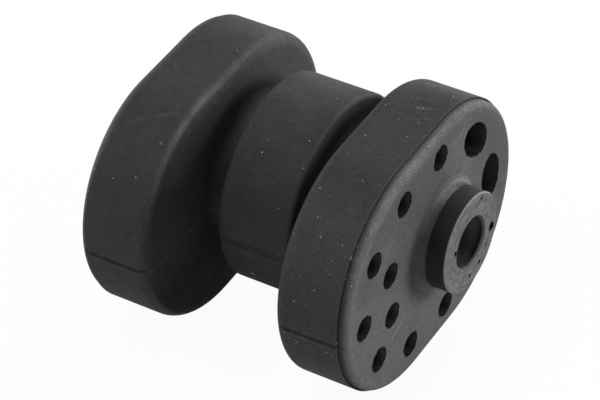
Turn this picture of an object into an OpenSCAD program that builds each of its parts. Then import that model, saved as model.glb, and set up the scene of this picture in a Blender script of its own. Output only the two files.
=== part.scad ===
// Engine mount: a moulded rubber bobbin with two oval flanges and a drum between them,
// bonded round a rigid sleeve that takes the through bolt.
// It lies on the flat flanks of its flanges, with the bolt axis along X. Sizes are in millimetres.

/* [Flanges] */
// Width of a flange across its flat flanks
flange_width = 62.2; // [58:0.1:68]
// Length of a flange along its long axis
flange_length = 80.5; // [74:0.1:90]
// Gap between the inner faces of the two flanges
flange_gap = 34.7; // [32:0.1:42]
// Thickness of a flange's rim, from its inner face to the lip
rim_thickness = 17.3; // [14:0.1:22]
// Rounding of a flange's inner edge
inner_rounding = 3.3; // [1:0.1:5]
// Width of the thin lip that the moulding leaves on the rim's front edge
lip_width = 0.25; // [0.1:0.05:0.5]
// Width of the crease between the lip and the cap
crease_width = 0.3; // [0.2:0.05:0.8]
// Depth of the crease
crease_depth = 0.3; // [0.2:0.05:0.8]
// Height of the cap above the rim
cap_height = 2.3; // [1.5:0.1:4]
// Rounding of the cap's edge
cap_rounding = 1.6; // [0.5:0.1:2.2]

/* [Drum] */
// Diameter of the drum that a bracket grips
drum_d = 52.9; // [48:0.1:56]
// Length of the drum
drum_length = 20; // [16:0.5:24]
// Rounding of the drum's edges
drum_rounding = 1.2; // [0.5:0.1:3]
// Diameter at the bottom of the round-bottomed grooves beside the drum
groove_d = 34; // [32:0.5:44]

/* [Parting line] */
// Width of the groove where the mould parts across the rims
rim_line_width = 1.3; // [0.4:0.1:2]
// Depth of that groove
rim_line_depth = 0.35; // [0.1:0.05:0.6]
// Width of each of the two fine grooves across the drum
drum_line_width = 0.5; // [0.2:0.05:0.8]
// Depth of those grooves
drum_line_depth = 0.2; // [0.1:0.05:0.4]
// Distance between them
drum_line_spacing = 1; // [0.6:0.1:2]
// Width of the raised line on the flanges' inner faces
face_line_width = 0.9; // [0.4:0.1:1.4]
// Height of that line
face_line_height = 0.15; // [0.1:0.05:0.4]

/* [Sleeve] */
// Outside diameter of the sleeve
sleeve_d = 25.7; // [23:0.1:27]
// Length of the sleeve, which stands out of both flanges
sleeve_length = 89; // [84:0.5:98]
// Diameter of the bore for the through bolt
bore_d = 13; // [10:0.1:15]
// Distance of the sleeve from the middle of the flanges, along their long axis
sleeve_offset = 5.5; // [3:0.1:8]
// Chamfer at the mouths of the bore
bore_chamfer = 0.6; // [0.2:0.1:1]
// Chamfer of the sleeve's outer edges
edge_chamfer = 0.3; // [0.1:0.1:0.6]
// Radius of the rubber fillet at the sleeve's foot
foot_fillet = 2.4; // [1:0.1:3]
// Thickness of the rubber lip that ends the fillet on the sleeve
foot_lip = 0.2; // [0.2:0.1:0.8]

/* [Relief holes] */
// Depth of the holes from the face of the front flange
hole_depth = 14; // [8:0.5:16]
// Diameter of the round holes
round_hole_d = 6.4; // [5:0.1:7]
// Width of the oval holes, across the arc that they stand on
oval_hole_width = 8.6; // [7:0.1:9]
// Length of the oval holes, along the arc that they stand on
oval_hole_length = 12.8; // [10:0.1:14]
// Radius of the arc of holes round the sleeve
near_arc_r = 23.5; // [22.5:0.1:24]
// Radius of the arc of holes at the far end of the flange
far_arc_r = 22.5; // [21:0.1:23.5]
// Angle between the holes at the far end
far_arc_step = 42; // [38:0.5:44]
// Distance between the two holes inside the far arc
pair_spacing = 12.6; // [10:0.1:15]
// Distance of those two holes from the centre of the far end
pair_reach = 10; // [8:0.1:12]

/* [Hidden] */
$fn = 96;
rubber_colour = [0.13, 0.13, 0.135];
sleeve_colour = [0.24, 0.24, 0.245];
flange_r = flange_width / 2;
end_span = flange_length - flange_width;
flange_thickness = rim_thickness + cap_height;
sleeve_r = sleeve_d / 2;
bore_r = bore_d / 2;
drum_r = drum_d / 2;
groove_r = groove_d / 2;
near_arc_step = 45;
oval_steps = 48;
// Depth by which joined solids run into each other
overlap = 1;
// How far a concave arc dips into the face beside it, so that it meets the face at an angle
arc_dip = 0.05;
groove_width = (flange_gap - drum_length) / 2 + arc_dip;

// Filled quarter of a disc, for a rounded corner that points along +X and towards -Y
module corner_quarter(r) {
    intersection() {
        circle(r = r);
        translate([0, -r])
            square(r);
    }
}

// Half section of a flange: radius along X, height above the inner face along Y
module flange_half_section() {
    corner = [flange_r - inner_rounding, inner_rounding];
    lip_r = flange_r - lip_width;
    cap_r = lip_r - crease_width;
    crease_r = (lip_r + cap_r) / 2;
    edge = [cap_r - cap_rounding, flange_thickness - cap_rounding];
    rim = [[0, 0], [corner.x, 0], corner, [flange_r, corner.y], [flange_r, rim_thickness]];
    crease = [[lip_r, rim_thickness], [crease_r, rim_thickness - crease_depth], [cap_r, rim_thickness]];
    cap = [[cap_r, edge.y], edge, [edge.x, flange_thickness], [0, flange_thickness]];
    polygon(concat(rim, crease, cap));
    translate(corner)
        corner_quarter(inner_rounding);
    translate(edge)
        mirror([0, 1])
            corner_quarter(cap_rounding);
}

// Solid flange, inner face on Z = 0, long axis along Y, centred on the origin
module flange_blank() {
    rotate([90, 0, 0])
        linear_extrude(height = end_span, center = true) {
            flange_half_section();
            mirror([1, 0])
                flange_half_section();
        }
    for (turn = [0, 180])
        rotate([0, 0, turn])
            translate([0, end_span / 2, 0])
                rotate_extrude(angle = 180)
                    flange_half_section();
}

// Rubber that climbs the sleeve above a flange's face, face on Z = 0
module foot_ring() {
    outer_r = sleeve_r + foot_lip + foot_fillet;
    rotate_extrude()
        difference() {
            translate([bore_r, -overlap])
                square([outer_r - bore_r, foot_fillet + overlap]);
            translate([outer_r, foot_fillet])
                circle(r = foot_fillet + arc_dip);
        }
}

// Half section of a groove beside the drum: radius along X, height above the drum's middle along Y
module groove_section() {
    translate([groove_r + groove_width / 2, (drum_length + groove_width) / 2]) {
        circle(d = groove_width);
        translate([0, -groove_width / 2])
            square([drum_r, groove_width]);
    }
}

// Drum with rounded edges and the grooves on both sides of it, centred on the Z axis
module drum_and_grooves() {
    corner = [drum_r - drum_rounding, drum_length / 2 - drum_rounding];
    rotate_extrude()
        for (side = [0, 1])
            mirror([0, side]) {
                difference() {
                    square([corner.x, flange_gap / 2 + overlap]);
                    groove_section();
                }
                translate([corner.x, 0])
                    square([drum_rounding, corner.y]);
                translate(corner)
                    mirror([0, 1])
                        corner_quarter(drum_rounding);
            }
}

// Wedge along Z with its edge at the stated depth along -Y, and its stated width at Y = 0
module wedge(width, depth, length) {
    linear_extrude(height = length, center = true)
        polygon([[0, -depth], [width, depth], [-width, depth]]);
}

// Cutters for the grooves where the mould parts on a flange's rim, inner face on Z = 0
module rim_lines() {
    for (turn = [0, 180])
        rotate([0, 0, turn])
            translate([0, flange_length / 2, rim_thickness / 2])
                wedge(rim_line_width, rim_line_depth, rim_thickness);
}

// Cutters for the two grooves on each side of the drum where the mould parts, centred on the Z axis
module drum_lines() {
    for (turn = [0, 180], line = [-1, 1])
        rotate([0, 0, turn])
            translate([line * drum_line_spacing / 2, drum_r, 0])
                wedge(drum_line_width, drum_line_depth, drum_length);
}

// Raised lines where the mould parts on a flange's inner face, inner face on Z = 0
module face_lines() {
    groove_edge = groove_r + groove_width / 2;
    reach = flange_length / 2 - inner_rounding;
    for (side = [-1, 1]) {
        start = sleeve_offset + side * groove_edge;
        middle = (start + side * reach) / 2;
        translate([0, middle, 0])
            rotate([90, 0, 0])
                wedge(face_line_width, face_line_height, 2 * abs(middle - start));
    }
}

// Cutter for one oval hole that stands on an arc and is long across Y
module oval_hole() {
    outline = [
        for (i = [1 : oval_steps])
            let (a = 360 * i / oval_steps)
                [oval_hole_length / 2 * cos(a), oval_hole_width / 2 * sin(a)]
    ];
    linear_extrude(height = hole_depth + overlap)
        polygon(outline);
}

// Cutter for one round hole
module round_hole() {
    cylinder(d = round_hole_d, h = hole_depth + overlap);
}

// Cutters for all the holes in a flange's face, floor of the holes on Z = 0, far end towards -Y
module relief_holes() {
    translate([0, sleeve_offset, 0]) {
        for (i = [-1 : 1])
            rotate([0, 0, i * near_arc_step])
                translate([0, near_arc_r, 0])
                    oval_hole();
        for (side = [-1, 1])
            translate([side * near_arc_r, 0, 0])
                round_hole();
    }
    translate([0, -end_span / 2, 0]) {
        for (i = [-2 : 2])
            rotate([0, 0, i * far_arc_step])
                translate([0, -far_arc_r, 0])
                    round_hole();
        for (side = [-1, 1])
            translate([side * pair_spacing / 2, -pair_reach, 0])
                round_hole();
    }
}

// Turns a shape built along Z so that it runs along the bolt axis, at the height of the sleeve
module along_bolt() {
    translate([0, 0, flange_r])
        rotate([0, 90, 0])
            children();
}

// Moulded rubber: two flanges, drum, grooves beside it and the fillets at the sleeve
module rubber_body() {
    face = flange_gap / 2 + flange_thickness;
    color(rubber_colour)
        along_bolt()
            difference() {
                union() {
                    for (side = [0, 1])
                        mirror([0, 0, side]) {
                            translate([0, 0, flange_gap / 2]) {
                                difference() {
                                    flange_blank();
                                    rim_lines();
                                }
                                face_lines();
                            }
                            translate([0, sleeve_offset, face])
                                foot_ring();
                        }
                    translate([0, sleeve_offset, 0])
                        difference() {
                            drum_and_grooves();
                            drum_lines();
                        }
                }
                translate([0, sleeve_offset, 0])
                    cylinder(r = sleeve_r, h = sleeve_length, center = true);
                translate([0, 0, face - hole_depth])
                    relief_holes();
            }
}

// Rigid sleeve with a chamfered bore
module inner_sleeve() {
    end = sleeve_length / 2;
    section = [
        [bore_r, bore_chamfer - end],
        [bore_r + bore_chamfer, -end],
        [sleeve_r - edge_chamfer, -end],
        [sleeve_r, edge_chamfer - end],
        [sleeve_r, end - edge_chamfer],
        [sleeve_r - edge_chamfer, end],
        [bore_r + bore_chamfer, end],
        [bore_r, end - bore_chamfer],
    ];
    color(sleeve_colour)
        along_bolt()
            translate([0, sleeve_offset, 0])
                rotate_extrude()
                    polygon(section);
}

rubber_body();
inner_sleeve();
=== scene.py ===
"""Engine mount: finish of the rubber body and the sleeve, with floor, light and camera."""

import math

import bpy
from mathutils import Matrix, Vector

# Camera: where it looks, from where, and through which lens (metres and degrees)
CAMERA_AIM = (0.00035, -0.00009, 0.03081)
CAMERA_DISTANCE = 0.6955
CAMERA_AZIMUTH = 34.13
CAMERA_ELEVATION = 41.45
CAMERA_ROLL = -4.18
CAMERA_LENS = 172.0
CAMERA_SENSOR = 36.0

# Light: level of the surroundings, and soft lamps of one size and distance as
# (name, azimuth from +X towards +Y in degrees, elevation in degrees, watts)
WORLD_LEVEL = 0.15
LAMP_DISTANCE = 1.0
LAMP_SIZE = 0.5
LAMPS = [
    ("right_box", 33.0, 12.0, 9.5),
    ("back_box", 90.0, 12.0, 4.8),
    ("left_box", 210.0, 12.0, 1.8),
    ("front_box", 275.0, 12.0, 1.2),
    ("top_back_box", 90.0, 62.0, 6.0),
    ("top_left_box", 225.0, 62.0, 5.3),
]

# Floor: share of plain white in what the camera and reflections see of it, with its shadows in the rest
FLOOR_SIZE = 4.0
FLOOR_COLOUR = (0.65, 0.65, 0.65, 1.0)
FLOOR_ROUGHNESS = 0.9
FLOOR_WHITE = 0.95
FLOOR_WHITE_MIRRORED = 0.5

# Places on the part, in millimetres
AXIS = Vector((0.0, 5.5, 31.1))
FLANGE_R = 31.1
END_CENTRE = 9.15
DRUM_END = 10.0
INNER_FACE = 17.35
RIM_EDGE = 34.65
FACE = 36.95
SLEEVE_R = 12.85
SLEEVE_END = 44.5
BORE_R = 6.5

# Relief holes on the front face: half lengths and half widths, and the arcs that they stand on
OVAL_HOLE = (6.4, 4.3)
ROUND_HOLE = (3.2, 3.2)
NEAR_ARC_R = 23.5
FAR_ARC_R = 22.5
PAIR_REACH = 10.0
PAIR_HALF_SPACING = 6.3
# Way, away from the lamps, in which the walls of the holes and the bore get the most painted light
AWAY_FROM_LAMPS = Vector((0.0, -0.82, 0.57))

# Uneven marks on the rubber: strokes as (points, width, strength) and chips as (place, radius, strength)
PALE_STROKES = [
    ([(-31.5, -22.1, 59.4), (-26.9, -18.7, 60.7), (-21.7, -15.7, 61.5)], 0.6, 0.035),
    ([(-23.6, -37.8, 43.1), (-24.6, -38.6, 41.1), (-24.6, -39.2, 39.0), (-24.4, -39.6, 37.5)], 0.25, 0.06),
    ([(FACE, 9.2, 54.8), (FACE, 15.9, 54.3)], 0.16, 0.25),
    ([(FACE, 9.6, 55.5), (FACE, 16.6, 55.0)], 0.12, 0.15),
    ([(FACE, -10.7, 20.8), (FACE, -19.5, 17.5)], 0.6, 0.14),
    ([(37.4, -5.7, 39.6), (38.2, -4.8, 39.5)], 0.16, 0.25),
]
BROWN_STROKES = [
    ([(28.4, 12.0, 62.1), (31.0, 12.2, 62.0)], 1.1, 0.6),
    ([(25.8, 14.9, 61.7), (28.3, 16.2, 61.4)], 0.8, 0.4),
]
CHIPS = [
    ((-2.35, -18.78, 20.63), 0.5, 0.6),
    ((RIM_EDGE, -31.71, 52.19), 0.5, 0.25),
    ((-21.5, -24.1, 58.3), 0.4, 0.2),
    ((27.8, 11.4, 62.1), 0.4, 0.2),
    ((28.9, 11.6, 62.1), 0.4, 0.2),
]

# Soft patches as (place, radius, strength): dust on top, paler patches on the front face, and painted shade
# on the front face beside the sleeve
DUSTY_PATCHES = [
    ((-20.0, 22.0, 59.5), 9.0, 0.6),
    ((0.0, 15.5, 55.6), 11.0, 0.45),
    ((-18.7, -8.5, 61.6), 6.0, 0.2),
]
PALE_PATCHES = [((FACE, 14.5, 50.5), 11.0, 0.3), ((FACE, 17.5, 43.5), 7.0, 0.4)]
SHADE_PATCHES = [((FACE, -14.0, 39.0), 13.0, 0.42)]
# Middle of a dull patch on the rim of the front flange, and of a scuff on the inner face of the rear one
DULL_PATCH = (29.0, 17.0, 61.3)
SCUFF = (-INNER_FACE, -24.5, 51.5)

# Marks in the front end of the sleeve: pits as (y, z, radius) and scratches as (start, end, width)
PITS = [(15.5, 28.5, 1.5), (-1.9, 33.6, 0.8), (9.2, 21.9, 0.7), (4.55, 21.3, 0.7), (11.1, 41.0, 0.6)]
SCRATCHES = [
    ((12.6, 25.0), (9.6, 22.0), 0.6),
    ((13.6, 26.0), (11.9, 23.4), 0.45),
    ((-2.6, 31.8), (-1.4, 33.6), 0.4),
    ((9.4, 40.2), (11.6, 41.6), 0.45),
    ((3.6, 39.4), (5.4, 40.2), 0.4),
    ((0.2, 37.2), (1.2, 38.6), 0.35),
]

# Colours of the rubber: its ground, its edges and lines, its end faces, its holes, and what lies on it
RUBBER_COOL = (0.0137, 0.0138, 0.0168, 1.0)
RUBBER_WARM = (0.0182, 0.0183, 0.0196, 1.0)
RUBBER_PALE = (0.0260, 0.0262, 0.0272, 1.0)
# Painted shade for the tops of the flanges, where they face up
RUBBER_TOP_SHADE = (0.0140, 0.0141, 0.0145, 1.0)
# Scuff on the rear inner face, and painted light towards the back end of the inner faces
RUBBER_SCUFF_AND_LIGHT = (0.0330, 0.0350, 0.0370, 1.0)
# Dirt and painted shade in the parting grooves, painted shade on the inner faces and at the ragged hole edges
RUBBER_LINE_AND_SHADE = (0.0030, 0.0030, 0.0035, 1.0)
# Wear and dust on the flanges' inner edges, with a painted highlight
EDGE_WEAR_AND_HIGHLIGHT = (0.0600, 0.0592, 0.0550, 1.0)
# Painted light on the lip and crease at the front edge of the rims
LIP_PAINTED_LIGHT = (0.0270, 0.0265, 0.0250, 1.0)
# Painted light for the drum's front side, which lies in shade
DRUM_PAINTED_LIGHT = (0.1500, 0.1510, 0.1630, 1.0)
FACE_BLOOM = (0.0635, 0.0657, 0.0685, 1.0)
FACE_DULL = (0.0433, 0.0435, 0.0430, 1.0)
# Painted shade on the front face beside the sleeve
FACE_PAINTED_SHADE = (0.0200, 0.0203, 0.0208, 1.0)
# Bloom with a painted highlight for the border of the end faces
BORDER_BLOOM_AND_HIGHLIGHT = (0.1150, 0.1130, 0.1030, 1.0)
# Bloom with a painted highlight for the foot of the sleeve
FOOT_BLOOM_AND_HIGHLIGHT = (0.1200, 0.1240, 0.1260, 1.0)
# Painted light and painted shade on the walls of the relief holes, by which way they face
HOLE_PAINTED_LIGHT = (0.0740, 0.0725, 0.0800, 1.0)
HOLE_PAINTED_SHADE = (0.0120, 0.0118, 0.0132, 1.0)
# Dust, and the painted highlight along the parting lines
DUST_AND_HIGHLIGHT = (0.0400, 0.0390, 0.0360, 1.0)
SPECK = (0.4200, 0.4100, 0.3900, 1.0)
STAIN = (0.0620, 0.0450, 0.0350, 1.0)

# Colours of the sleeve: its side, its end and its bore
SLEEVE_DARK = (0.0095, 0.0098, 0.0114, 1.0)
SLEEVE_WORN = (0.0150, 0.0154, 0.0170, 1.0)
SLEEVE_GREY = (0.0630, 0.0630, 0.0650, 1.0)
SLEEVE_PALE = (0.1260, 0.1260, 0.1285, 1.0)
# Pale flecks on the sleeve's end, and the painted highlight at its outer edge
SLEEVE_FLECK_AND_HIGHLIGHT = (0.2300, 0.2300, 0.2330, 1.0)
PIT = (0.0020, 0.0020, 0.0022, 1.0)
# Bore: painted shade at the mouth, painted light deeper in, and painted shade on walls facing the lamps
BORE_MOUTH = (0.0080, 0.0080, 0.0085, 1.0)
BORE_PAINTED_LIGHT = (0.1200, 0.1200, 0.1260, 1.0)
BORE_PAINTED_SHADE = (0.0380, 0.0380, 0.0400, 1.0)

# Specular level of clean surfaces, and of grimy places such as the holes
RUBBER_SPECULAR = 0.4
SLEEVE_SPECULAR = 0.22
GRIME_SPECULAR = 0.1
# Depth in metres and strength of the fine relief
RELIEF_DEPTH = 0.00006
RELIEF_STRENGTH = 0.5


class Painter:
    """Adds nodes to one Principled material and joins them. Lengths in its masks are in millimetres."""

    def __init__(self, name):
        self.material = bpy.data.materials.new(name)
        self.material.use_nodes = True
        self.tree = self.material.node_tree
        self.shader = self.tree.nodes["Principled BSDF"]
        coords = self.tree.nodes.new("ShaderNodeTexCoord")
        self.place = self.vector("SCALE", coords.outputs["Object"], scale=1000.0)
        self.x, self.y, self.z = self.parts(self.place)
        self.normal = coords.outputs["Normal"]
        self.up = self.parts(self.normal)[2]

    def plug(self, value, socket):
        """Joins a node's output to a socket, or sets a plain value on it."""
        if isinstance(value, bpy.types.NodeSocket):
            self.tree.links.new(value, socket)
        else:
            socket.default_value = value

    def math(self, operation, *values, clamp=False):
        """Result of one operation on numbers."""
        node = self.tree.nodes.new("ShaderNodeMath")
        node.operation = operation
        node.use_clamp = clamp
        for value, socket in zip(values, node.inputs):
            self.plug(value, socket)
        return node.outputs["Value"]

    def vector(self, operation, *values, scale=None):
        """Result of one operation on vectors."""
        node = self.tree.nodes.new("ShaderNodeVectorMath")
        node.operation = operation
        for value, socket in zip(values, node.inputs):
            self.plug(value, socket)
        if scale is not None:
            self.plug(scale, node.inputs["Scale"])
        plain = operation in ("LENGTH", "DOT_PRODUCT", "DISTANCE")
        return node.outputs["Value" if plain else "Vector"]

    def parts(self, vector):
        """The three numbers of a vector."""
        node = self.tree.nodes.new("ShaderNodeSeparateXYZ")
        self.plug(vector, node.inputs["Vector"])
        return node.outputs["X"], node.outputs["Y"], node.outputs["Z"]

    def joined(self, x, y, z):
        """A vector of three numbers."""
        node = self.tree.nodes.new("ShaderNodeCombineXYZ")
        for value, socket in zip((x, y, z), node.inputs):
            self.plug(value, socket)
        return node.outputs["Vector"]

    def ramp(self, value, low, high, low_out=0.0, high_out=1.0):
        """Maps low..high to low_out..high_out, with a soft start and end."""
        node = self.tree.nodes.new("ShaderNodeMapRange")
        node.interpolation_type = "SMOOTHSTEP"
        if low > high:
            low, high, low_out, high_out = high, low, high_out, low_out
        for value_in, socket in zip((value, low, high, low_out, high_out), node.inputs):
            self.plug(value_in, socket)
        return node.outputs["Result"]

    def times(self, *values):
        """Product of numbers."""
        result = values[0]
        for value in values[1:]:
            result = self.math("MULTIPLY", result, value)
        return result

    def most(self, *values):
        """Largest of numbers."""
        result = values[0]
        for value in values[1:]:
            result = self.math("MAXIMUM", result, value)
        return result

    def mix(self, factor, a, b):
        """Colour a where factor is 0 and colour b where it is 1."""
        node = self.tree.nodes.new("ShaderNodeMix")
        node.data_type = "RGBA"
        for value, socket in ((factor, 0), (a, 6), (b, 7)):
            self.plug(value, node.inputs[socket])
        return node.outputs[2]

    def noise(self, scale, detail=3.0, vector=None):
        """Fractal noise over the part, or over another vector, as a value of about 0 to 1."""
        node = self.tree.nodes.new("ShaderNodeTexNoise")
        node.inputs["Scale"].default_value = scale
        node.inputs["Detail"].default_value = detail
        self.plug(self.place if vector is None else vector, node.inputs["Vector"])
        return node.outputs["Fac"]

    def wobble(self, scale, amount, detail=3.0):
        """Noise round 0, of a stated amount."""
        return self.math("MULTIPLY", self.math("SUBTRACT", self.noise(scale, detail), 0.5), amount)

    def band(self, value, middle, half_width):
        """Soft-edged band of values round a middle."""
        away = self.math("ABSOLUTE", self.math("SUBTRACT", value, middle))
        return self.ramp(away, half_width, 0.4 * half_width)

    def patch(self, point, radius, core=0.0):
        """Soft round patch on the part, full in its core and gone at its radius."""
        return self.ramp(self.vector("DISTANCE", self.place, point), radius, core)

    def spot(self, point, radius):
        """Uneven spot round a point on the part."""
        away = self.vector("DISTANCE", self.place, point)
        return self.ramp(self.math("ADD", away, self.wobble(1.6, 1.2 * radius)), radius, 0.6 * radius)

    def stroke(self, points, width):
        """Soft line through points on the part, a little uneven."""
        uneven = self.wobble(0.6, 0.8 * width)
        lines = []
        for start, end in zip(points, points[1:]):
            along = Vector(end) - Vector(start)
            offset = self.vector("SUBTRACT", self.place, start)
            share = self.vector("DOT_PRODUCT", offset, along / along.length_squared)
            nearest = self.vector("SCALE", along, scale=self.math("ADD", share, 0.0, clamp=True))
            away = self.vector("LENGTH", self.vector("SUBTRACT", offset, nearest))
            lines.append(self.ramp(self.math("ADD", away, uneven), width, 0.1 * width))
        return self.times(self.most(*lines), self.ramp(self.noise(0.9, 2.0), 0.35, 0.6))

    def specks(self, scale, size, share):
        """Scattered specks up to a size in millimetres, in a share of the cells."""
        node = self.tree.nodes.new("ShaderNodeTexVoronoi")
        node.inputs["Scale"].default_value = scale
        self.plug(self.place, node.inputs["Vector"])
        chance, bulk, shine = self.parts(node.outputs["Color"])
        radius = self.ramp(bulk, 0.0, 1.0, 0.5 * size * scale, size * scale)
        near = self.math("DIVIDE", node.outputs["Distance"], radius)
        there = self.math("LESS_THAN", chance, share)
        return self.times(self.ramp(near, 1.0, 0.5), there, self.ramp(shine, 0.2, 1.0, 0.2, 1.0))

    def finish(self, colour, roughness, specular, height):
        """Joins the results to the shader, and returns the material."""
        bump = self.tree.nodes.new("ShaderNodeBump")
        bump.inputs["Distance"].default_value = RELIEF_DEPTH
        bump.inputs["Strength"].default_value = RELIEF_STRENGTH
        self.plug(height, bump.inputs["Height"])
        self.plug(bump.outputs["Normal"], self.shader.inputs["Normal"])
        self.plug(colour, self.shader.inputs["Base Color"])
        self.plug(roughness, self.shader.inputs["Roughness"])
        self.plug(specular, self.shader.inputs["Specular IOR Level"])
        return self.material


def flange_reach(paint):
    """Distance from the straight line between the centres of a flange's round ends."""
    past_end = paint.math("SUBTRACT", paint.math("ABSOLUTE", paint.y), END_CENTRE)
    past_end = paint.math("MAXIMUM", past_end, 0.0)
    return paint.vector("LENGTH", paint.joined(0.0, past_end, paint.math("SUBTRACT", paint.z, AXIS.z)))


def bolt_offset(paint):
    """Distances from the bolt axis along Y and Z."""
    return paint.math("SUBTRACT", paint.y, AXIS.y), paint.math("SUBTRACT", paint.z, AXIS.z)


def bolt_radius(paint):
    """Distance from the bolt axis."""
    return paint.vector("LENGTH", paint.joined(0.0, *bolt_offset(paint)))


def swirl(paint, radius, across, around):
    """Noise drawn out round the bolt axis: features per millimetre across it, and per radian around it."""
    heading = paint.vector("NORMALIZE", paint.joined(0.0, *bolt_offset(paint)))
    step = paint.joined(paint.math("MULTIPLY", radius, across), 0.0, 0.0)
    return paint.noise(1.0, 4.0, paint.vector("ADD", paint.vector("SCALE", heading, scale=around), step))


def hole_on_arc(middle_y, radius, angle, size):
    """Relief hole on an arc, at an angle from +Y, as (y, z, angle, half length, half width)."""
    turn = math.radians(angle)
    return middle_y + radius * math.cos(turn), AXIS.z + radius * math.sin(turn), angle, *size


def relief_holes():
    """All the relief holes on the front face."""
    holes = [hole_on_arc(AXIS.y, NEAR_ARC_R, angle, OVAL_HOLE) for angle in (-45, 0, 45)]
    holes += [hole_on_arc(AXIS.y, NEAR_ARC_R, angle, ROUND_HOLE) for angle in (-90, 90)]
    holes += [hole_on_arc(-END_CENTRE, FAR_ARC_R, angle, ROUND_HOLE) for angle in (96, 138, 180, 222, 264)]
    for side in (-1, 1):
        holes.append((-END_CENTRE - PAIR_REACH, AXIS.z + side * PAIR_HALF_SPACING, 0, *ROUND_HOLE))
    return holes


def hole_distance(paint):
    """Distance from the edge of the nearest relief hole, negative inside it."""
    flat = paint.joined(0.0, paint.y, paint.z)
    result = None
    for y, z, turn, half_length, half_width in relief_holes():
        node = paint.tree.nodes.new("ShaderNodeMapping")
        node.vector_type = "TEXTURE"
        node.inputs["Location"].default_value = (0.0, y, z)
        node.inputs["Rotation"].default_value = (math.radians(turn), 0.0, 0.0)
        node.inputs["Scale"].default_value = (1.0, half_width, half_length)
        paint.plug(flat, node.inputs["Vector"])
        away = paint.math("SUBTRACT", paint.vector("LENGTH", node.outputs["Vector"]), 1.0)
        away = paint.math("MULTIPLY", away, (half_length + half_width) / 2)
        result = away if result is None else paint.math("MINIMUM", result, away)
    return result


def painted_light_on_walls(paint):
    """Share of painted light on the walls of the holes and the bore, most where they face away from the
    lamps.
    """
    return paint.ramp(paint.vector("DOT_PRODUCT", paint.normal, AWAY_FROM_LAMPS), 0.3, 1.0)


def inner_face(paint, outward):
    """The inner faces of the flanges."""
    return paint.times(
        paint.ramp(outward, INNER_FACE - 1.35, INNER_FACE - 0.35),
        paint.ramp(outward, INNER_FACE + 1.0, INNER_FACE + 0.4),
    )


def plain_rubber(paint, outward):
    """Cloudy black: cooler on the drum, paler higher up the front flange, and painted shade on top of both
    flanges.
    """
    on_flange = paint.ramp(outward, DRUM_END, INNER_FACE)
    cloud = paint.math("SUBTRACT", paint.noise(0.12, 6.0), 0.12)
    cloud = paint.math("MULTIPLY_ADD", on_flange, 0.2, cloud)
    colour = paint.mix(paint.ramp(cloud, 0.3, 0.7), RUBBER_COOL, RUBBER_WARM)
    paler_higher = paint.times(
        paint.ramp(paint.x, INNER_FACE, INNER_FACE + 1.0),
        paint.ramp(paint.z, 34.0, 54.0, 0.05, 0.9),
    )
    colour = paint.mix(paler_higher, colour, RUBBER_PALE)
    # Painted shade on the tops of the flanges, where they face up
    return paint.mix(paint.times(on_flange, paint.ramp(paint.up, 0.8, 1.0)), colour, RUBBER_TOP_SHADE)


def settled_dust(paint, outward, patchy):
    """Dust on what faces up, mostly on the drum."""
    dusty = paint.times(
        paint.ramp(paint.up, 0.4, 1.0),
        paint.ramp(outward, DRUM_END, INNER_FACE, 1.0, 0.2),
        paint.ramp(paint.noise(0.16, 6.0), 0.35, 0.7, 0.02, 0.3),
    )
    patches = [
        paint.times(paint.patch(place, radius), patchy, strength) for place, radius, strength in DUSTY_PATCHES
    ]
    return paint.most(dusty, *patches)


def drum_side_painted_light(paint):
    """Painted light on the upper part of the drum's front side, and on the rounded edge before it, where they
    lie in shade.
    """
    edge = paint.ramp(paint.x, DRUM_END - 1.1, DRUM_END - 0.2, 0.0, 0.3)
    return paint.times(
        paint.ramp(bolt_radius(paint), 21.5, 25.0),
        paint.most(edge, paint.ramp(paint.x, DRUM_END - 0.15, DRUM_END)),
        paint.ramp(paint.x, DRUM_END + 0.6, DRUM_END + 0.2),
        paint.ramp(paint.z, 48.0, 56.0),
    )


def edge_wear_and_highlight(paint, outward, reach):
    """Inner edges of the flanges, mostly on top of the rear one: wear and dust with a painted highlight."""
    return paint.times(
        paint.ramp(outward, INNER_FACE + 2.9, INNER_FACE + 1.4),
        paint.ramp(outward, INNER_FACE + 0.7, INNER_FACE + 1.2),
        paint.ramp(reach, FLANGE_R - 3.1, FLANGE_R - 1.6),
        paint.ramp(paint.z, 42.0, 60.0, 0.1, 1.0),
        paint.ramp(paint.x, -5.0, 5.0, 1.0, 0.2),
        paint.ramp(paint.y, -14.0, 6.0, 1.0, 0.6),
        paint.ramp(paint.noise(0.18, 6.0), 0.35, 0.65, 0.5, 1.0),
        paint.ramp(paint.noise(1.3, 5.0), 0.3, 0.6, 0.6, 1.0),
    )


def paint_inner_face(paint, colour, on_face, patchy):
    """Inner faces of the flanges: painted shade low down and behind the drum, painted light towards the back
    end, and a scuff.
    """
    # Painted shade behind the drum
    shaded = paint.times(on_face, paint.ramp(paint.y, 14.0, 0.0), paint.ramp(paint.z, 38.0, 50.0), 0.7)
    colour = paint.mix(shaded, colour, RUBBER_LINE_AND_SHADE)
    scuff = paint.times(paint.patch(SCUFF, 6.0), patchy, 0.4)
    # Painted light towards the back end, with the scuff
    scuff_and_light = paint.most(paint.ramp(paint.y, 2.0, 20.0, 0.0, 0.6), scuff)
    colour = paint.mix(paint.times(on_face, scuff_and_light), colour, RUBBER_SCUFF_AND_LIGHT)
    # Painted shade low down on the inner faces
    return paint.mix(paint.times(on_face, paint.ramp(paint.z, 38.0, 16.0, 0.0, 0.8)), colour, RUBBER_LINE_AND_SHADE)


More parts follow.
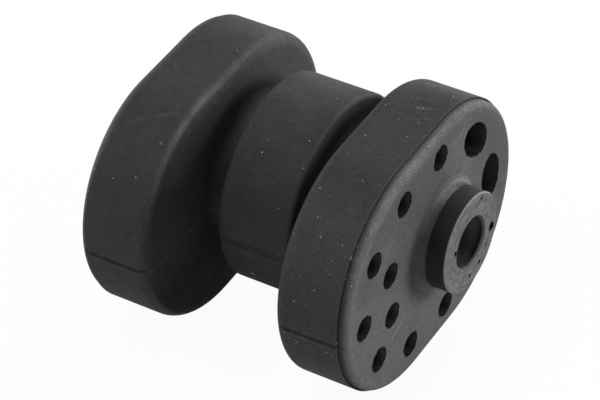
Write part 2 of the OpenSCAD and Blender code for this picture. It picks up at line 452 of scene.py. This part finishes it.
def paint_parting_lines(paint, colour, outward, reach, on_face):
    """Lines where the mould parts: dark in the grooves with dirt and painted shade, and pale beside them and
    on the inner faces as a painted highlight.
    """
    on_rim = paint.ramp(reach, FLANGE_R - 1.1, FLANGE_R - 0.6)
    on_drum = paint.ramp(outward, DRUM_END + 0.2, DRUM_END - 0.2)
    drum_lines = [paint.band(paint.z, AXIS.z + side * 0.5, 0.25) for side in (1, -1)]
    dark = paint.most(
        paint.times(paint.band(paint.z, AXIS.z, 0.8), on_rim, 0.95),
        paint.times(paint.most(*drum_lines), on_drum, 0.9),
    )
    colour = paint.mix(dark, colour, RUBBER_LINE_AND_SHADE)
    # Painted highlight beside the grooves and along the ridge on the inner faces
    pale = paint.most(
        paint.times(paint.band(paint.z, AXIS.z - 1.05, 0.35), on_rim, 0.25),
        paint.times(paint.band(paint.z, AXIS.z, 0.5), on_face, 0.5),
    )
    return paint.mix(pale, colour, DUST_AND_HIGHLIGHT)


def rubber_ground(paint, outward, reach, on_face):
    """The rubber without its end faces."""
    patchy = paint.ramp(paint.noise(0.3, 6.0), 0.3, 0.7, 0.5, 1.0)
    colour = plain_rubber(paint, outward)
    colour = paint.mix(settled_dust(paint, outward, patchy), colour, DUST_AND_HIGHLIGHT)
    # Painted light on the drum's shaded front side
    colour = paint.mix(drum_side_painted_light(paint), colour, DRUM_PAINTED_LIGHT)
    # Wear, dust and a painted highlight along the flanges' inner edges
    colour = paint.mix(edge_wear_and_highlight(paint, outward, reach), colour, EDGE_WEAR_AND_HIGHLIGHT)
    colour = paint_inner_face(paint, colour, on_face, patchy)
    return paint_parting_lines(paint, colour, outward, reach, on_face)


def lip(paint, outward, reach):
    """Uneven lip and crease at the front edge of the rims, painted lighter: painted light on the lip and in
    the crease's shade.
    """
    return paint.times(
        paint.band(outward, RIM_EDGE - 0.1, 0.35),
        paint.ramp(reach, FLANGE_R - 0.9, FLANGE_R - 0.7),
        paint.ramp(paint.noise(0.5, 4.0), 0.3, 0.6, 0.3, 1.0),
    )


def cap(paint, outward):
    """The caps with their end faces, starting later low down."""
    start = paint.math("SUBTRACT", outward, paint.ramp(paint.z, 57.0, 42.0, 0.0, 0.8))
    return paint.ramp(start, RIM_EDGE - 0.1, RIM_EDGE + 1.0)


def cap_border(paint, outward, reach):
    """Border of the end faces: bloom with a painted highlight, strongest at the top of the far end."""
    return paint.times(
        paint.ramp(outward, RIM_EDGE + 0.8, RIM_EDGE + 1.7),
        paint.ramp(reach, FLANGE_R - 4.6, FLANGE_R - 0.7),
        paint.ramp(paint.z, 25.0, 60.0, 0.25, 1.0),
        paint.ramp(paint.y, -8.0, 16.0, 1.0, 0.5),
        paint.ramp(paint.noise(0.3, 6.0), 0.25, 0.75, 0.5, 1.0),
    )


def end_bloom_light_and_shade(paint, border):
    """Grey bloom of the end faces, cloudy and streaky round the sleeve; paler at the border, with a painted
    highlight there and at the foot, and painted shade beside the sleeve.
    """
    lean = paint.vector("DOT_PRODUCT", paint.place, (0.0, -0.004, -0.008))
    cloud = paint.math("ADD", paint.noise(0.09, 6.0), paint.math("ADD", lean, 0.008 * AXIS.z))
    colour = paint.mix(paint.ramp(cloud, 0.35, 0.65), FACE_DULL, FACE_BLOOM)

    radius = bolt_radius(paint)
    streaks = swirl(paint, radius, 0.8, 3.0)
    colour = paint.mix(paint.ramp(streaks, 0.5, 0.75, 0.0, 0.35), colour, FACE_BLOOM)

    # Painted highlight, with bloom, on the top side of the foot round the sleeve
    above = paint.times(
        paint.ramp(paint.z, AXIS.z - 2.0, AXIS.z + 9.0),
        paint.ramp(paint.y, AXIS.y - 8.0, AXIS.y + 4.0, 0.1, 1.0),
    )
    foot = paint.times(paint.ramp(radius, 14.5, 13.6), above, paint.ramp(streaks, 0.35, 0.6, 0.5, 1.0))
    ring = paint.times(paint.band(radius, 14.6, 0.25), above, 0.45)
    patches = [paint.times(paint.patch(place, size), strength) for place, size, strength in PALE_PATCHES]
    colour = paint.mix(paint.most(foot, ring, *patches), colour, FOOT_BLOOM_AND_HIGHLIGHT)

    # Painted shade and shadow beside the sleeve, and where it meets the face
    upper_left = paint.times(
        paint.ramp(paint.y, AXIS.y + 3.0, AXIS.y - 6.0),
        paint.ramp(paint.z, AXIS.z + 6.0, AXIS.z + 11.0),
    )
    ring = paint.times(paint.band(radius, 14.8, 1.2), upper_left, 0.5)
    right = paint.ramp(paint.y, AXIS.y + 1.0, AXIS.y + 5.0)
    contact_shade = paint.times(paint.ramp(radius, 13.7, 13.0), right, 0.75)
    patches = [paint.times(paint.patch(place, size), strength) for place, size, strength in SHADE_PATCHES]
    colour = paint.mix(paint.most(ring, contact_shade, *patches), colour, FACE_PAINTED_SHADE)
    return paint.mix(border, colour, BORDER_BLOOM_AND_HIGHLIGHT)


def hole_insides(paint, outward, reach, front):
    """Walls and floors of the relief holes."""
    return paint.times(
        front,
        paint.ramp(outward, FACE - 0.1, FACE - 0.3),
        paint.ramp(reach, FLANGE_R - 4.1, FLANGE_R - 4.6),
    )


def torn_edges(paint, outward, front):
    """Ragged edges of the relief holes, with painted shade spread past the holes' edges."""
    away = paint.math("ADD", hole_distance(paint), paint.wobble(1.5, 1.6, 5.0))
    return paint.times(front, paint.ramp(away, 0.15, 0.05), paint.ramp(outward, FACE - 0.3, FACE - 0.1))


def dust_specks(paint, outward, reach, front, holes):
    """Fine and coarse specks outside the holes and grooves, thickest on top of the front flange."""
    in_groove = paint.times(
        paint.ramp(outward, DRUM_END - 0.2, DRUM_END + 0.2),
        paint.ramp(reach, FLANGE_R - 1.1, FLANGE_R - 2.6),
        paint.ramp(outward, INNER_FACE + 1.65, INNER_FACE + 0.65),
    )
    outside = paint.math("SUBTRACT", 1.0, paint.most(holes, in_groove))
    crowd = paint.math("ADD", paint.times(front, paint.ramp(paint.up, -0.2, 0.8), 0.25), 0.06)
    fine = paint.times(paint.specks(1.7, 0.13, crowd), 0.35)
    coarse = paint.specks(0.7, 0.21, paint.math("MULTIPLY_ADD", front, 0.4, 0.16))
    return paint.times(outside, paint.most(fine, coarse))


def rubber_material():
    """Matte black rubber: bloom on the end faces, dust, edges with wear and painted highlight, parting lines
    and dark holes, with painted light and shade in places.
    """
    paint = Painter("rubber")
    outward = paint.math("ABSOLUTE", paint.x)
    reach = flange_reach(paint)
    front = paint.ramp(paint.x, INNER_FACE + 1.0, INNER_FACE + 2.0)
    on_face = inner_face(paint, outward)
    border = cap_border(paint, outward, reach)

    colour = rubber_ground(paint, outward, reach, on_face)
    # Painted light on the lip and crease
    colour = paint.mix(lip(paint, outward, reach), colour, LIP_PAINTED_LIGHT)
    colour = paint.mix(cap(paint, outward), colour, end_bloom_light_and_shade(paint, border))

    grain = paint.noise(2.8, 4.0)
    coarseness = paint.math("ADD", paint.times(front, 0.2), paint.math("MULTIPLY_ADD", border, 0.5, 0.75))
    shade = paint.math("MULTIPLY_ADD", paint.math("MULTIPLY_ADD", grain, 2.0, -1.0), coarseness, 1.0)
    colour = paint.vector("SCALE", colour, scale=paint.math("MAXIMUM", shade, 0.3))
    for points, width, strength in BROWN_STROKES:
        colour = paint.mix(paint.times(paint.stroke(points, width), strength), colour, STAIN)

    inside = hole_insides(paint, outward, reach, front)
    # Painted light on hole walls facing away from the lamps, painted shade on the rest
    colour = paint.mix(inside, colour, paint.mix(painted_light_on_walls(paint), HOLE_PAINTED_SHADE, HOLE_PAINTED_LIGHT))
    torn = torn_edges(paint, outward, front)
    # Painted shade at the ragged hole edges
    colour = paint.mix(torn, colour, RUBBER_LINE_AND_SHADE)
    holes = paint.most(inside, torn)

    dust = dust_specks(paint, outward, reach, front, holes)
    marks = [paint.times(paint.stroke(points, width), strength) for points, width, strength in PALE_STROKES]
    marks += [paint.times(paint.spot(place, radius), strength) for place, radius, strength in CHIPS]
    colour = paint.mix(paint.most(dust, *marks), colour, SPECK)

    roughness = paint.ramp(paint.noise(0.5, 4.0), 0.3, 0.7, 0.78, 0.88)
    on_drum = paint.ramp(outward, DRUM_END + 0.6, DRUM_END + 0.2)
    low = paint.times(paint.most(on_face, on_drum), paint.ramp(paint.z, 38.0, 16.0, 0.0, 0.6))
    dull = paint.times(paint.patch(DULL_PATCH, 12.0, 2.0), 0.5)
    specular = paint.ramp(paint.most(holes, low, dull), 0.0, 1.0, RUBBER_SPECULAR, GRIME_SPECULAR)
    return paint.finish(colour, roughness, specular, paint.math("ADD", grain, dust))


def sleeve_material():
    """Dark sleeve with a paler, pitted and scratched end with a painted highlight at its outer edge, and a
    grey bore with painted light and shade.
    """
    paint = Painter("sleeve")
    outward = paint.math("ABSOLUTE", paint.x)
    radius = bolt_radius(paint)

    side = paint.mix(paint.ramp(paint.noise(0.2, 5.0), 0.3, 0.7), SLEEVE_DARK, SLEEVE_WORN)
    # Painted shade at the bore's mouth and painted light deeper in, then by which way the walls face
    bore = paint.mix(paint.ramp(outward, SLEEVE_END - 0.5, SLEEVE_END - 3.0), BORE_MOUTH, BORE_PAINTED_LIGHT)
    bore = paint.mix(painted_light_on_walls(paint), BORE_PAINTED_SHADE, bore)
    colour = paint.mix(paint.ramp(radius, BORE_R + 0.6, BORE_R + 0.2), side, bore)

    end = paint.mix(paint.ramp(swirl(paint, radius, 1.6, 2.0), 0.3, 0.7), SLEEVE_GREY, SLEEVE_PALE)
    end = paint.mix(paint.ramp(paint.noise(0.6, 6.0), 0.45, 0.65, 0.0, 0.6), end, SLEEVE_GREY)
    end = paint.mix(paint.ramp(paint.noise(1.8, 5.0), 0.58, 0.7, 0.0, 0.8), end, SLEEVE_WORN)
    end = paint.mix(paint.ramp(paint.noise(1.4, 5.0), 0.42, 0.3, 0.0, 0.4), end, SLEEVE_FLECK_AND_HIGHLIGHT)
    end = paint.mix(paint.ramp(paint.y, AXIS.y + 2.5, AXIS.y + 12.5, 0.0, 0.3), end, SLEEVE_GREY)
    # Painted highlight along the outer edge of the sleeve's end
    end = paint.mix(paint.ramp(radius, SLEEVE_R - 0.4, SLEEVE_R - 0.2, 0.0, 0.6), end, SLEEVE_FLECK_AND_HIGHLIGHT)
    pits = paint.most(*[paint.spot((SLEEVE_END, y, z), size) for y, z, size in PITS])
    cuts = paint.most(*[
        paint.stroke([(SLEEVE_END, *first), (SLEEVE_END, *last)], width) for first, last, width in SCRATCHES
    ])
    holed = paint.most(pits, paint.times(cuts, 0.8))
    end = paint.mix(holed, end, PIT)
    colour = paint.mix(paint.ramp(outward, SLEEVE_END - 0.5, SLEEVE_END - 0.1), colour, end)

    roughness = paint.ramp(paint.noise(0.8, 4.0), 0.3, 0.7, 0.7, 0.85)
    specular = paint.ramp(holed, 0.0, 1.0, SLEEVE_SPECULAR, 0.0)
    return paint.finish(colour, roughness, specular, paint.math("SUBTRACT", paint.noise(3.0, 4.0), pits))


def dress(node_object, material):
    """Gives a carried solid its material."""
    node_object.data.materials.clear()
    node_object.data.materials.append(material)


def floor():
    """Plain white floor that keeps a soft shadow."""
    mesh = bpy.data.meshes.new("floor")
    half = FLOOR_SIZE / 2
    corners = [(-half, -half, 0.0), (half, -half, 0.0), (half, half, 0.0), (-half, half, 0.0)]
    mesh.from_pydata(corners, [], [(0, 1, 2, 3)])
    plane = bpy.data.objects.new("floor", mesh)
    bpy.context.scene.collection.objects.link(plane)
    paint = Painter("floor")
    paint.shader.inputs["Base Color"].default_value = FLOOR_COLOUR
    paint.shader.inputs["Roughness"].default_value = FLOOR_ROUGHNESS
    nodes = paint.tree.nodes
    rays = nodes.new("ShaderNodeLightPath").outputs
    seen = paint.times(rays["Is Camera Ray"], FLOOR_WHITE)
    mirrored = paint.most(rays["Is Glossy Ray"], rays["Is Transmission Ray"])
    mix = nodes.new("ShaderNodeMixShader")
    paint.plug(paint.most(seen, paint.times(mirrored, FLOOR_WHITE_MIRRORED)), mix.inputs["Fac"])
    paint.plug(paint.shader.outputs["BSDF"], mix.inputs[1])
    paint.plug(nodes.new("ShaderNodeEmission").outputs["Emission"], mix.inputs[2])
    paint.plug(mix.outputs["Shader"], nodes["Material Output"].inputs["Surface"])
    mesh.materials.append(paint.material)


def light():
    """Even white surroundings and soft lamps."""
    world = bpy.data.worlds.new("studio")
    bpy.context.scene.world = world
    world.use_nodes = True
    background = world.node_tree.nodes["Background"]
    background.inputs["Color"].default_value = (1.0, 1.0, 1.0, 1.0)
    background.inputs["Strength"].default_value = WORLD_LEVEL
    for name, azimuth, elevation, watts in LAMPS:
        around = math.radians(azimuth)
        above = math.radians(elevation)
        level = math.cos(above)
        away = Vector((math.cos(around) * level, math.sin(around) * level, math.sin(above)))
        lamp = bpy.data.lights.new(name, "AREA")
        lamp.shape = "DISK"
        lamp.size = LAMP_SIZE
        lamp.energy = watts
        holder = bpy.data.objects.new(name, lamp)
        holder.location = Vector(CAMERA_AIM) + LAMP_DISTANCE * away
        holder.rotation_euler = away.to_track_quat("Z", "Y").to_euler()
        bpy.context.scene.collection.objects.link(holder)


def camera():
    """Camera at the photograph's viewing angle."""
    azimuth = math.radians(CAMERA_AZIMUTH)
    elevation = math.radians(CAMERA_ELEVATION)
    level = math.cos(elevation)
    back = Vector((math.sin(azimuth) * level, -math.cos(azimuth) * level, math.sin(elevation)))
    data = bpy.data.cameras.new("camera")
    data.lens = CAMERA_LENS
    data.sensor_width = CAMERA_SENSOR
    data.sensor_fit = "HORIZONTAL"
    holder = bpy.data.objects.new("camera", data)
    holder.location = Vector(CAMERA_AIM) + CAMERA_DISTANCE * back
    turn = back.to_track_quat("Z", "Y").to_matrix().to_4x4()
    roll = Matrix.Rotation(math.radians(CAMERA_ROLL), 4, "Z")
    holder.rotation_euler = (turn @ roll).to_euler()
    bpy.context.scene.collection.objects.link(holder)
    bpy.context.scene.camera = holder


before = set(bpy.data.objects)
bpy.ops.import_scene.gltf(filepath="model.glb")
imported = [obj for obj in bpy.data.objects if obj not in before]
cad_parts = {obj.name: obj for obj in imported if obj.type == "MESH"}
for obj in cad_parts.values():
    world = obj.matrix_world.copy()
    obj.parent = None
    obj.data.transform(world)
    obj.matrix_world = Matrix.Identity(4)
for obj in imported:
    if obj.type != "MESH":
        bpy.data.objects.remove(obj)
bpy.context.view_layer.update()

dress(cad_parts["rubber_body"], rubber_material())
dress(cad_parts["inner_sleeve"], sleeve_material())
floor()
light()
camera()
bpy.context.scene.view_settings.view_transform = "Standard"
